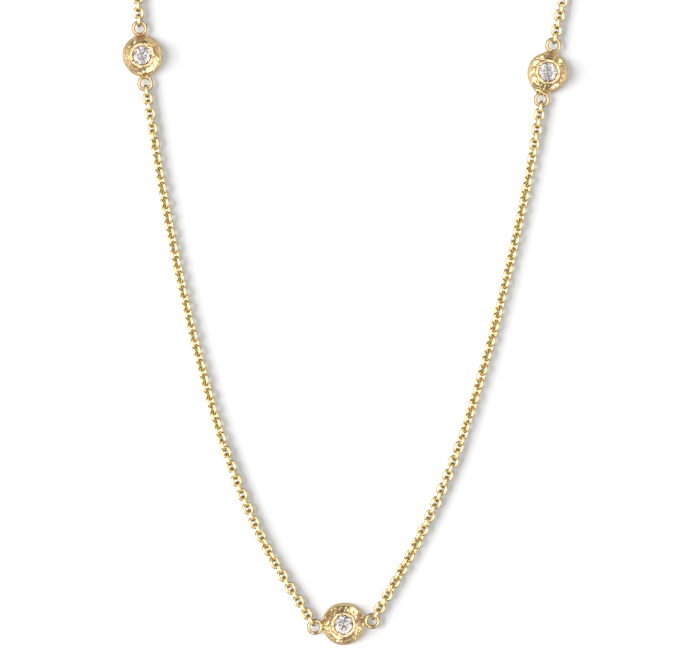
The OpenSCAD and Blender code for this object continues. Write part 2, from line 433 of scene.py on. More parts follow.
@dataclass(frozen=True)
class CardFinish:
    """Matt white card under the necklace.

    Attributes:
        name: Name of the material.
        shade: Share of the light that it gives back.
        play: How much that share changes either way from place to place.
        patch: Size of those places, in millimetres.
    """

    name: str = "white_card"
    shade: float = 0.86
    play: float = 0.01
    patch: float = 2.5

    def make(self) -> bpy.types.Material:
        """Build the material.

        Returns:
            The material of this finish.
        """
        material, graph, shader = blank(self.name)
        shader.inputs["Roughness"].default_value = 1.0
        shader.inputs["Specular IOR Level"].default_value = 0.0
        darker, lighter = ((self.shade + side * self.play,) * 3 for side in (-1, 1))
        colour = graph.ramp(graph.grain(self.patch), (0.0, darker), (1.0, lighter))
        graph.join(colour, shader.inputs["Base Color"])
        return material


@dataclass(frozen=True)
class Spot:
    """Where a station lies.

    Attributes:
        name: Which station it is.
        x: Its middle, in millimetres.
        y: Its middle, in millimetres.
        heading: Direction of the line through its two loops, in degrees.
        across: Its diameter, in millimetres.
    """

    name: str
    x: float
    y: float
    heading: float
    across: float

    def loop(self, side: int) -> Vector:
        """Return the middle of the loop ahead of the station (1) or behind it (-1)."""
        return Vector((self.x, self.y)) + unit(self.heading) * side * (self.across / 2 + LOOP_REACH)


LEFT = Spot("left", -27.9, 78.8, 96, 5.6)
CENTRE = Spot("centre", 0, 0, 6, 5.9)
RIGHT = Spot("right", 28.3, 76.5, 78, 5.6)


def curved(a: Vector, b: Vector, c: Vector, d: Vector, t: float) -> Vector:
    """Read the smooth curve through four points, between the middle two.

    Args:
        a: The point before.
        b: Where the curve is at 0.
        c: Where the curve is at 1.
        d: The point after.
        t: Where to read it, from 0 to 1.

    Returns:
        The place there.
    """
    even = 2 * b + (c - a) * t
    return 0.5 * (even + (2 * a - 5 * b + 4 * c - d) * t ** 2 + (3 * b - a - 3 * c + d) * t ** 3)


@dataclass
class Route:
    """Smooth line that a stretch of chain follows, through the part's own points.

    Attributes:
        points: Points that it passes through, from end to end, in millimetres.
        climb: How far its far end rises over the rest.
        climb_run: Length over which it rises.
        steps: Steps between two points.
        glance: Length to either side over which its direction is read.
        xs: Length along the line and X there, for each step.
        ys: Length along the line and Y there, for each step.
        length: Its whole length.
    """

    points: Sequence[Vector | tuple[float, float]]
    climb: float = 0.0
    climb_run: float = 6.0
    steps: int = 12
    glance: float = 0.3
    xs: list[tuple[float, float]] = field(init=False, default_factory=list)
    ys: list[tuple[float, float]] = field(init=False, default_factory=list)
    length: float = field(init=False, default=0.0)

    def __post_init__(self) -> None:
        """Measure the curve through the points.

        One more point is added beyond each end, straight on from the last two.
        """
        points = [Vector(p) for p in self.points]
        points = [2 * points[0] - points[1], *points, 2 * points[-1] - points[-2]]
        path = [
            curved(*four, k / self.steps)
            for four in zip(points, points[1:], points[2:], points[3:])
            for k in range(self.steps)
        ]
        path.append(points[-2])
        for i, at in enumerate(path):
            self.length += (at - path[i - 1]).length if i else 0.0
            self.xs.append((self.length, at.x))
            self.ys.append((self.length, at.y))

    def at(self, s: float) -> Vector:
        """Return the place at this length along the line."""
        return Vector((lookup(self.xs, s), lookup(self.ys, s)))

    def heading(self, s: float) -> float:
        """Return the line's direction at this length, in radians."""
        step = self.at(s + self.glance) - self.at(s - self.glance)
        return math.atan2(step.y, step.x)

    def climbed(self, s: float) -> float:
        """Return how much of the rise's run lies behind this length, from 0 to 1."""
        return max(0.0, 1 - (self.length - s) / self.climb_run)

    def lift(self, s: float) -> float:
        """Return how far the line has risen at this length."""
        return self.climb * self.climbed(s) ** 2

    def pitch(self, s: float) -> float:
        """Return the slope of the rise at this length, in radians."""
        return math.atan(2 * self.climb * self.climbed(s) / self.climb_run)


@dataclass(frozen=True)
class LinkShape:
    """One oval link of the cable chain.

    Attributes:
        width: Its width, in millimetres.
        length: Its length, in millimetres.
        wire_d: Thickness of its wire.
        sides: Sides of the wire before it is smoothed.
        steps: Steps round each end before they are smoothed.
        grey: Painted shade on the wire where it lies inside its neighbours, from 0 to 1.
        grey_from: Distance from the link's middle where that painted shade starts.
        grey_run: Length over which it grows.
        shoulder_from: Distance past the middle of a bend where the painted shade of the shoulder
            starts.
        shoulder_side: Distance from the link's middle line where it starts.
        shoulder_r: Distance from the middle of a bend where it starts, in radii of the bend.
        tip_r: Distance from the middle of a bend, in such radii, where the tip starts, which is
            left without painted shade.
    """

    width: float = 1.5
    length: float = 2.02
    wire_d: float = 0.47
    sides: int = 6
    steps: int = 4
    grey: float = 0.4
    grey_from: float = 0.3
    grey_run: float = 0.25
    shoulder_from: float = 0.2
    shoulder_side: float = 0.3
    shoulder_r: float = 1.25
    tip_r: float = 0.9

    @property
    def mean_r(self) -> float:
        """Radius of the wire's middle line round an end."""
        return (self.width - self.wire_d) / 2

    @property
    def offset(self) -> float:
        """Distance from the link's middle to the middle of an end's bend."""
        return (self.length - self.wire_d) / 2 - self.mean_r

    def painted_shade_at(self, at: Vector) -> float:
        """Find how much painted shade the link gets: most on its shoulders, some on the wire inside
        its neighbours, and none on its tips.

        Args:
            at: A place on the link's own mesh.

        Returns:
            The painted shade there, from 0 to 1.
        """
        bend = max(0.0, abs(at.x) - self.offset)
        beside = bend > self.shoulder_from and abs(at.z) > self.shoulder_side
        if beside and math.hypot(bend, at.z) > self.shoulder_r * self.mean_r:
            return 1.0
        if bend > self.tip_r * self.mean_r:
            return 0.0
        return self.grey * clamp((abs(at.x) - self.grey_from) / self.grey_run)

    def mesh(self) -> bpy.types.Mesh:
        """Build one link at the origin, along X, in the plane Y = 0.

        One end is turned from the wire's section, and its twin faces it. Smoothing pulls the
        mesh in, so that it is drawn larger by as much.

        Returns:
            A mesh whose smoothed shape has the link's sizes.
        """
        bend_shrinks = (7 + math.cos(math.pi / self.steps)) / 8
        wire_shrinks = (
            (3 + math.cos(math.tau / self.sides)) / 8 + math.cos(math.pi / self.sides) / 2)
        bend_r = self.mean_r / bend_shrinks
        wire_r = self.wire_d / 2 / wire_shrinks
        bm = bmesh.new()
        place = Matrix.Translation((self.offset, 0, bend_r)) @ Matrix.Rotation(math.pi / 2, 4, "Y")
        bmesh.ops.spin(
            bm, geom=circle(bm, wire_r, self.sides, place), cent=(self.offset, 0, 0),
            axis=(0, 1, 0), dvec=(0, 0, 0), angle=math.pi, steps=self.steps, use_merge=False,
            use_duplicate=False,
        )
        half = bm.verts[:] + bm.edges[:] + bm.faces[:]
        copy = bmesh.ops.duplicate(bm, geom=half)["geom"]
        twins = [item for item in copy if isinstance(item, bmesh.types.BMVert)]
        bmesh.ops.rotate(bm, verts=twins, cent=(0, 0, 0), matrix=Matrix.Rotation(math.pi, 3, "Y"))
        for side in (1, -1):
            open_ends = [
                edge for edge in bm.edges
                if edge.is_boundary and all(vert.co.z * side > 0 for vert in edge.verts)
            ]
            bmesh.ops.bridge_loops(bm, edges=open_ends)
        bmesh.ops.recalc_face_normals(bm, faces=bm.faces)
        return as_mesh("one_link", bm)


@dataclass
class LinkChain:
    """A stretch of interlocked links from loop to loop.

    Attributes:
        name: Name of the stretch.
        route: Line that it follows.
        turns: Share of the stretch and how far the links have turned there, in degrees.
        seed: Start of the small differences from link to link.
        pitch: Distance from one link to the next, before it is fitted to the stretch.
        shape: The link.
        sway: Largest turn of a single link about the line, in degrees.
        yaw: Largest turn of a single link off the line, in degrees.
    """

    name: str
    route: Route
    turns: Sequence[tuple[float, float]]
    seed: int
    pitch: float = 1.035
    shape: LinkShape = field(default_factory=LinkShape)
    sway: float = 5.0
    yaw: float = 2.5

    def place(self, s: float, turn: float, yaw: float, upright: bool) -> Matrix:
        """Find where a link goes. It rests on the card, or on the rise of the route.

        Args:
            s: Length along the route.
            turn: How far the chain has turned there, in degrees.
            yaw: How far the link points off the line, in degrees.
            upright: Whether it is one of the links that stand across their neighbours.

        Returns:
            The place of the link's own mesh.
        """
        lean = math.radians(turn)
        rest = max(abs(math.sin(lean)), abs(math.cos(lean)))
        at = self.route.at(s)
        height = self.shape.mean_r * rest + self.shape.wire_d / 2 + self.route.lift(s)
        return (
            Matrix.Translation((at.x, at.y, height))
            @ Matrix.Rotation(self.route.heading(s) + math.radians(yaw), 4, "Z")
            @ Matrix.Rotation(-self.route.pitch(s), 4, "Y")
            @ Matrix.Rotation(math.radians(turn + 90 * upright), 4, "X")
        )

    def build(self, gold: bpy.types.Material) -> bpy.types.Object:
        """Lay the links along the route. The two at each end hang straight.

        Args:
            gold: Finish of the chain.

        Returns:
            The stretch as one piece.
        """
        chance = random.Random(self.seed)
        one = self.shape.mesh()
        first = LOOP_MEAN_R + (self.pitch + LINK_SLACK) / 2 - LINK_SLACK - LOOP_WIRE_D / 2
        stretch = self.route.length - 2 * first
        last = 2 * round(stretch / self.pitch / 2)
        bm = bmesh.new()
        painted_shade = bm.verts.layers.float.new(PAINTED_SHADE)
        for i in range(last + 1):
            loose = 1 < i < last - 1
            sway, yaw = (self.sway, self.yaw) if loose else (0.0, 0.0)
            turn = lookup(self.turns, i / last) + chance.uniform(-sway, sway)
            place = self.place(
                first + stretch * i / last, turn, chance.uniform(-yaw, yaw), upright=bool(i % 2))
            known = len(bm.verts)
            bm.from_mesh(one)
            bm.verts.ensure_lookup_table()
            # Each vertex carries the link's painted shade.
            for vert in bm.verts[known:]:
                vert[painted_shade] = self.shape.painted_shade_at(vert.co)
            bmesh.ops.transform(bm, matrix=place, verts=bm.verts[known:])
        bpy.data.meshes.remove(one)
        piece = finished(f"links_{self.name}", bm, gold)
        smooth = piece.modifiers.new("smooth", "SUBSURF")
        smooth.levels = smooth.render_levels = 1
        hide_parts(f"chain_{self.name}")
        log.info("links_%s: %d links", self.name, last + 1)
        return piece


@dataclass(frozen=True)
class Flat:
    """One large hammered flat on a station.

    Attributes:
        angle: Direction in which it lies, in degrees from +X.
        tilt: How far its normal leans out from straight up, in degrees.
        height: Its height at the reading radius, in millimetres.
        read_r: The reading radius.
    """

    angle: float
    tilt: float
    height: float
    read_r: float = 1.94


@dataclass(frozen=True)
class Nick:
    """One narrow tool mark on a station.

    Attributes:
        x: Its middle, in millimetres from the stone's.
        y: Its middle, in millimetres from the stone's.
        angle: Direction in which it runs, in degrees from +X.
        length: Half its length.
        width: Half its width.
        depth: How deep it is.
    """

    x: float
    y: float
    angle: float
    length: float = 0.3
    width: float = 0.07
    depth: float = 0.07

    def cut(self, x: float, y: float) -> float:
        """Find how deep the mark is at a place.

        Args:
            x: The place, in millimetres from the stone's middle.
            y: The place, in millimetres from the stone's middle.

        Returns:
            The depth there, in millimetres.
        """
        along = unit(self.angle)
        dx, dy = x - self.x, y - self.y
        u, v = dx * along.x + dy * along.y, dy * along.x - dx * along.y
        return self.depth * bell(u, self.length) * bell(v, self.width)


@dataclass(frozen=True)
class Swell:
    """One place where the solder makes a station's outline flow outwards.

    Attributes:
        angle: Direction in which it lies, in degrees from +X.
        size: How far it stands out, in millimetres.
        width: Half its width, in degrees.
    """

    angle: float
    size: float = 0.43
    width: float = 17.0

    def reach(self, angle: float) -> float:
        """Return how far the swell stands out in this direction."""
        return self.size * bell((angle - self.angle + 180) % 360 - 180, self.width)


@dataclass(frozen=True)
class Wave:
    """One smooth random wave over a station.

    Attributes:
        scale: How close its crests lie.
        size: Its height.
        shift: Where it is read, beside the station's seed.
    """

    scale: float
    size: float
    shift: tuple[float, float]

    def at(self, place: Vector, seed: int) -> float:
        """Return the wave's height at a place."""
        return noise.noise(place * self.scale + Vector((seed, *self.shift))) * self.size


def waves(several: Sequence[Wave], place: Vector, seed: int) -> float:
    """Return the height of several waves together at a place."""
    return sum(wave.at(place, seed) for wave in several)


# Body of a station before it is hammered. The pairs are radius and height, going inwards.
EDGE_R = 0.5
EDGE_STEPS = 6
BACK_INSET = 0.9
WALL_TOP_Z = 0.62
RIM_INSET = 0.06
DOME_STEPS = 30
COLLAR = (
    (1.77, 2.12), (1.75, 2.18), (1.73, 2.24), (1.70, 2.30), (1.66, 2.345), (1.61, 2.374),
    (1.55, 2.385), (1.49, 2.38), (1.44, 2.366), (1.39, 2.348), (1.34, 2.325), (1.30, 2.285),
    (1.28, 2.22), (1.27, 2.15),
)
SEAT = ((1.33, 2.13), (1.40, 2.08), (1.40, 1.98), (1.0, 1.63), (0.5, 1.2), (0, 0.76))

# Dome: how far it is counted past its edges, how the flats meet, and what lies over them
DOME_MARGIN = 0.02
FACING_LEAST = 0.4
FLAT_SOFTNESS = 0.012
FADE_LEAST = 0.1
FADE_RUN = 0.1
FOLD_WAVE = Wave(0.9, 1.0, (1, 6))
FOLD_DEPTH = 0.042
FOLD_WIDTH = 0.05
DOME_WAVES = (Wave(1.3, 0.06, (3, 1)), Wave(2.7, 0.016, (9, 4)))

# Collar: where it starts, how far it was pressed down, and its wavering to the side and down
COLLAR_FROM_R = 1.29
COLLAR_FROM_Z = 2.14
PRESSED_FROM_Z = 2.0
PRESSED_RUN = 0.3
PRESSED = 0.06
OUTER_FROM_R = 1.36
OUTER_RUN = 0.25
COLLAR_SIDE_WAVES = (Wave(1.8, 0.22, (7, 5)), Wave(4.14, 0.06, (7, 5)))
COLLAR_DOWN_WAVES = (Wave(2.16, 0.12, (-7, -5)), Wave(4.86, 0.04, (-7, -5)))

# Outline: where it starts to waver, and how high the solder stands
OUTLINE_FROM_R = 2.0
OUTLINE_INSET = 0.02
SOLDER_HALF_HEIGHT = 0.5
OUTLINE_WAVES = (Wave(1.2, 0.13, (2, 8)), Wave(3.1, 0.05, (5, 2)))

# Painted shade on the loops' flanks, round the collar's foot, inside the collar and in the folds
LOOPS_FROM = 0.25
LOOPS_LEAST = 0.15
FLANK_UP = 0.92
FLANK_RUN = 0.25
UNSHADED_BELOW_Z = 1.0
UNSHADED_WITHIN_R = 1.0
WANDER = Wave(1.4, 1.0, (4, 4))
GROOVE_SWAY = 0.12
GROOVE_WIDTH = 0.06
GROOVE_DARK = 0.95
INSIDE_R = 1.3
INSIDE_WIDTH = 0.07
INSIDE_DARK = 0.9
CREASE_WIDTH = 0.028
CREASE_RUN = 0.2

MERGE_DISTANCE = 0.001
SHARP_ANGLE = math.radians(38)


def joined(name: str, solids: Sequence[bmesh.types.BMesh]) -> bmesh.types.BMesh:
    """Unite two closed meshes.

    Args:
        name: Name of the piece that they make.
        solids: The two meshes, which are freed.

    Returns:
        Their union, without needle-thin faces and without points that only two edges meet in.
    """
    parts = []
    for i, bm in enumerate(solids):
        bmesh.ops.recalc_face_normals(bm, faces=bm.faces)
        parts.append(shown(f"{name}_{i}", as_mesh(f"{name}_{i}", bm)))
    union = parts[0].modifiers.new("join", "BOOLEAN")
    union.operation = "UNION"
    union.solver = "EXACT"
    union.object = parts[1]
    depsgraph = bpy.context.evaluated_depsgraph_get()
    whole = bpy.data.meshes.new_from_object(parts[0].evaluated_get(depsgraph))
    for part in parts:
        bpy.data.objects.remove(part)
    bm = bmesh.new()
    bm.from_mesh(whole)
    bpy.data.meshes.remove(whole)
    bmesh.ops.remove_doubles(bm, verts=bm.verts, dist=MERGE_DISTANCE)
    between = [vert for vert in bm.verts if len(vert.link_edges) == 2]
    bmesh.ops.dissolve_verts(bm, verts=between)
    bm.normal_update()
    return bm


@dataclass
class Station:
    """One hammered gold setting with its two soldered loops.

    Attributes:
        spot: Where it lies.
        flats: Its large hammered flats.
        nicks: Its narrow tool marks.
        swells: Where the solder flows out, towards its loops and elsewhere.
        seed: Start of its small irregularities.
        steps: Steps round the body.
        rim_z: Height of the rim that the dome starts from.
        foot_r: Radius of the collar's foot.
        foot_z: Height of the collar's foot.
    """

    spot: Spot
    flats: Sequence[Flat]
    nicks: Sequence[Nick]
    swells: Sequence[Swell]
    seed: int
    steps: int = 320
    rim_z: float = 0.74
    foot_r: float = 1.8
    foot_z: float = 2.09

    @property
    def radius(self) -> float:
        """Radius of the plain body."""
        return self.spot.across / 2

    @property
    def rim_r(self) -> float:
        """Radius of the rim that the dome starts from."""
        return self.radius - RIM_INSET

    @property
    def ball_z(self) -> float:
        """Height of the middle of the ball that the dome is part of."""
        across = self.rim_r ** 2 - self.foot_r ** 2
        return (self.foot_z ** 2 - self.rim_z ** 2 - across) / (2 * (self.foot_z - self.rim_z))

    def profile(self) -> list[Vector]:
        """Draw the outline of the plain body.

        Returns:
            Its points, from the middle of the back to the seat's lowest point.
        """
        quarter = [math.pi / 2 * k / EDGE_STEPS for k in range(EDGE_STEPS + 1)]
        edge = [
            (self.radius - EDGE_R + EDGE_R * math.sin(a), EDGE_R - EDGE_R * math.cos(a))
            for a in quarter
        ]
        ball_r = math.hypot(self.rim_r, self.rim_z - self.ball_z)
        low, high = math.asin(self.rim_r / ball_r), math.asin(self.foot_r / ball_r)
        arc = [low + (high - low) * k / DOME_STEPS for k in range(DOME_STEPS + 1)]
        dome = [(ball_r * math.sin(a), self.ball_z + ball_r * math.cos(a)) for a in arc]
        back = [(0, 0), (self.radius - BACK_INSET, 0)]
        wall = [(self.radius, WALL_TOP_Z)]
        return [Vector((r, 0, z)) for r, z in (*back, *edge, *wall, *dome, *COLLAR, *SEAT)]

    def hammered_dome(self, at: Vector) -> Vector:
        """Move a point of the dome onto the lowest flat over it, and add folds and tool marks.

        Args:
            at: A point of the plain dome.

        Returns:
            The point on the hammered dome.
        """
        middle = Vector((0, 0, self.ball_z))
        ray = at - middle
        skin = ray.length
        ray.normalize()
        cuts = [skin]
        for flat in self.flats:
            normal = towards(flat.tilt, flat.angle - self.spot.heading)
            foot = unit(flat.angle - self.spot.heading) * flat.read_r
            reach = normal.dot(Vector((foot.x, foot.y, flat.height)) - middle)
            facing = ray.dot(normal)
            if facing > FACING_LEAST:
                cuts.append(reach / facing)
        lowest = min(cuts)
        over = math.log(sum(math.exp((lowest - cut) / FLAT_SOFTNESS) for cut in cuts))
        fade = clamp((at.z - self.rim_z) / FADE_RUN, FADE_LEAST)
        at = middle + ray * (skin + (lowest - FLAT_SOFTNESS * over - skin) * fade)
        own = Matrix.Rotation(math.radians(self.spot.heading), 2) @ at.xy
        level = waves(DOME_WAVES, at, self.seed)
        level -= sum(nick.cut(own.x, own.y) for nick in self.nicks)
        level -= FOLD_DEPTH * bell(FOLD_WAVE.at(at, self.seed), FOLD_WIDTH)
        return at + ray * level

    def pressed_collar(self, at: Vector) -> Vector:
        """Move a point of the collar to the side and down, as the setter pressed it.

        Args:
            at: A point of the plain collar.

        Returns:
            The point on the uneven collar.
        """
        out = Vector((at.x, at.y, 0)).normalized()
        outer = clamp((math.hypot(at.x, at.y) - OUTER_FROM_R) / OUTER_RUN)
        side = waves(COLLAR_SIDE_WAVES, out, self.seed) * outer
        down = PRESSED + waves(COLLAR_DOWN_WAVES, out, -self.seed)
        down *= min(1.0, (at.z - PRESSED_FROM_Z) / PRESSED_RUN)
        return at + out * side - Vector((0, 0, down))

    def hammer(self, at: Vector) -> Vector:
        """Move a point of the dome or the collar to where the tools left it.

        Args:
            at: A point of the plain body.

        Returns:
            The point on the hammered body.
        """
        r = math.hypot(at.x, at.y)
        if r > self.foot_r - DOME_MARGIN and at.z > self.rim_z - DOME_MARGIN:
            return self.hammered_dome(at)
        if r > COLLAR_FROM_R and at.z > COLLAR_FROM_Z:
            return self.pressed_collar(at)
        return at

    def spread(self, at: Vector) -> Vector:
        """Move a point out where the solder flows towards the loops and the outline wavers.

        Args:
            at: A point of the hammered body.

        Returns:
            The point on the finished body.
        """
        r = math.hypot(at.x, at.y)
        share = clamp((r - OUTLINE_FROM_R) / (self.radius - OUTLINE_FROM_R))
        if not share:
            return at
        out = Vector((at.x, at.y, 0)).normalized()
        turn = math.degrees(math.atan2(at.y, at.x)) + self.spot.heading
        level = bell(at.z - LOOP_Z, SOLDER_HALF_HEIGHT)
        push = sum(swell.reach(turn) for swell in self.swells) * level - OUTLINE_INSET
        push += waves(OUTLINE_WAVES, out, self.seed)
        return at + out * push * share

    def painted_shade_at(self, vert: bmesh.types.BMVert) -> float:
        """Find how much painted shade the station gets.

        Args:
            vert: A vertex of its own mesh, before it is put in its place.

        Returns:
            The painted shade there, from 0 to 1.
        """
        at = vert.co
        r = math.hypot(at.x, at.y)
        # Painted shade on the loops: darker the more a surface faces sideways, and a little
        # everywhere.
        if r > self.radius + LOOPS_FROM:
            return min(1.0, LOOPS_LEAST + max(0.0, (FLANK_UP - abs(vert.normal.z)) / FLANK_RUN))
        if at.z < UNSHADED_BELOW_Z or r < UNSHADED_WITHIN_R:
            return 0.0
        # Painted shade in the groove round the collar's foot, in the recess inside the collar and
        # along the folds.
        wander = WANDER.at(Vector((at.x, at.y, 0)).normalized(), self.seed)
        groove = bell(r - self.foot_r - wander * GROOVE_SWAY, GROOVE_WIDTH) * (GROOVE_DARK + wander)
        inside = bell(r - INSIDE_R, INSIDE_WIDTH) * (INSIDE_DARK - wander)
        crease = bell(FOLD_WAVE.at(at, self.seed), CREASE_WIDTH)
        crease *= clamp((r - self.foot_r) / CREASE_RUN)
        return clamp(max(groove, inside, crease))

    def body(self) -> bmesh.types.BMesh:
        """Turn the body on its own axis and hammer it. Its loops go ahead and behind along X.

        Returns:
            The closed body.
        """
        bm = bmesh.new()
        verts = [bm.verts.new(at) for at in self.profile()]
        edges = [bm.edges.new(pair) for pair in zip(verts, verts[1:])]
        bmesh.ops.spin(
            bm, geom=verts + edges, cent=(0, 0, 0), axis=(0, 0, 1), dvec=(0, 0, 0),
            angle=math.tau, steps=self.steps, use_merge=True, use_duplicate=False,
        )
        bmesh.ops.remove_doubles(bm, verts=bm.verts, dist=MERGE_DISTANCE / 2)
        for vert in bm.verts:
            vert.co = self.spread(self.hammer(vert.co.copy()))
        return bm

    def loops(self) -> bmesh.types.BMesh:
        """Make the two wire loops.

        Returns:
            Both of them, as one mesh.
        """
        bm = bmesh.new()
        for side in (1, -1):
            ring = wire_ring(bm, LOOP_MEAN_R, LOOP_WIRE_D)
            bmesh.ops.translate(bm, vec=(side * (self.radius + LOOP_REACH), 0, LOOP_Z), verts=ring)
        return bm

    def build(self, gold: bpy.types.Material) -> bpy.types.Object:
        """Join the body and the loops and put the station in its place.

        Args:
            gold: Finish of the station.

        Returns:
            The station as one piece.
        """
        name = f"setting_{self.spot.name}"
        bm = joined(name, (self.body(), self.loops()))
        # Each vertex carries the station's painted shade.
        painted_shade = bm.verts.layers.float.new(PAINTED_SHADE)
        for vert in bm.verts:
            vert[painted_shade] = self.painted_shade_at(vert)
        turn = Matrix.Rotation(math.radians(self.spot.heading), 4, "Z")
        place = Matrix.Translation((self.spot.x, self.spot.y, 0)) @ turn
        bmesh.ops.transform(bm, matrix=place, verts=bm.verts)
        piece = finished(name, bm, gold)
        piece.data.set_sharp_from_angle(angle=SHARP_ANGLE)
        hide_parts(f"station_{self.spot.name}")
        log.info("%s: %d faces", name, len(piece.data.polygons))
        return piece

    def dress_stone(self, finish: bpy.types.Material) -> None:
        """Give the station's stone its finish.

        Args:
            finish: Finish of the stone.
        """
        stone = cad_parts[f"stone_{self.spot.name}"]
        stone.data.materials.clear()
        stone.data.materials.append(finish)
        log.info("stone_%s: dressed", self.spot.name)


@dataclass(frozen=True)
class Closure:
    """The ring clasp with its eye, and the end ring closed through it.

    Attributes:
        reach: Distance from the eye's middle to the clasp's.
    """

    reach: float = CLASP_D / 2 + LOOP_REACH

    @property
    def clasp_mean_r(self) -> float:
        """Radius of the middle line of the clasp's tube."""
        return (CLASP_D - CLASP_TUBE_D) / 2

    @property
    def end_z(self) -> float:
        """Height of the end ring's middle."""
        return END_RING_MEAN_R * math.sin(END_RING_LEAN) + LOOP_WIRE_D / 2

    @property
    def tilt(self) -> float:
        """How far the clasp leans up from its eye, in radians."""
        return math.asin((self.end_z - LOOP_Z) / (self.reach + self.clasp_mean_r))

    @property
    def eye(self) -> Vector:
        """Middle of the clasp's eye."""
        return CLASP_PLACE - Vector((self.reach * math.cos(self.tilt), 0))

    @property
    def end_ring(self) -> Vector:
        """Middle of the end ring."""
        play = END_RING_MEAN_R - LOOP_WIRE_D / 2 - LINK_SLACK - CLASP_TUBE_D / 2
        return CLASP_PLACE + Vector((self.clasp_mean_r + play, 0))

    @property
    def chain_end(self) -> Vector:
        """Where the last link holds the end ring, less a loop's radius."""
        return self.end_ring + Vector((END_RING_MEAN_R - LOOP_MEAN_R, 0))

    def build_clasp(self, gold: bpy.types.Material) -> None:
        """Build the clasp with its eye, leaning up from the eye.

        Args:
            gold: Its finish.
        """
        bm = bmesh.new()
        wire_ring(bm, LOOP_MEAN_R, LOOP_WIRE_D)
        ring = wire_ring(bm, self.clasp_mean_r, CLASP_TUBE_D, sides=24, steps=128)
        bmesh.ops.translate(bm, vec=(self.reach, 0, 0), verts=ring)
        lean = Matrix.Rotation(-self.tilt, 4, "Y")
        place = Matrix.Translation((self.eye.x, self.eye.y, LOOP_Z)) @ lean
        bmesh.ops.transform(bm, matrix=place, verts=bm.verts)
        clasp = finished("ring_clasp", bm, gold)
        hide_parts("clasp")
        log.info("ring_clasp: built")

    def build_end_ring(self, gold: bpy.types.Material) -> None:
        """Build the end ring, leaning on the clasp's tube.

        Args:
            gold: Its finish.
        """
        bm = bmesh.new()
        wire_ring(bm, END_RING_MEAN_R, LOOP_WIRE_D)
        lean = Matrix.Rotation(END_RING_LEAN, 4, "X")
        place = Matrix.Translation((self.end_ring.x, self.end_ring.y, self.end_z)) @ lean
        bmesh.ops.transform(bm, matrix=place, verts=bm.verts)
        ring = finished("closing_ring", bm, gold)
        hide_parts("end_ring")
        log.info("closing_ring: built")


@dataclass(frozen=True)
class Panel:
    """A bright round panel among the studio's walls.

    Attributes:
        angle: Direction in which it stands, in degrees from +X.
        height: Its height over the card, in degrees.
        radius: How wide it looks, in degrees.
        glow: Its strength.
        softness: How wide its edge is, in degrees.
    """

    angle: float
    height: float
    radius: float
    glow: float
    softness: float = 3.0


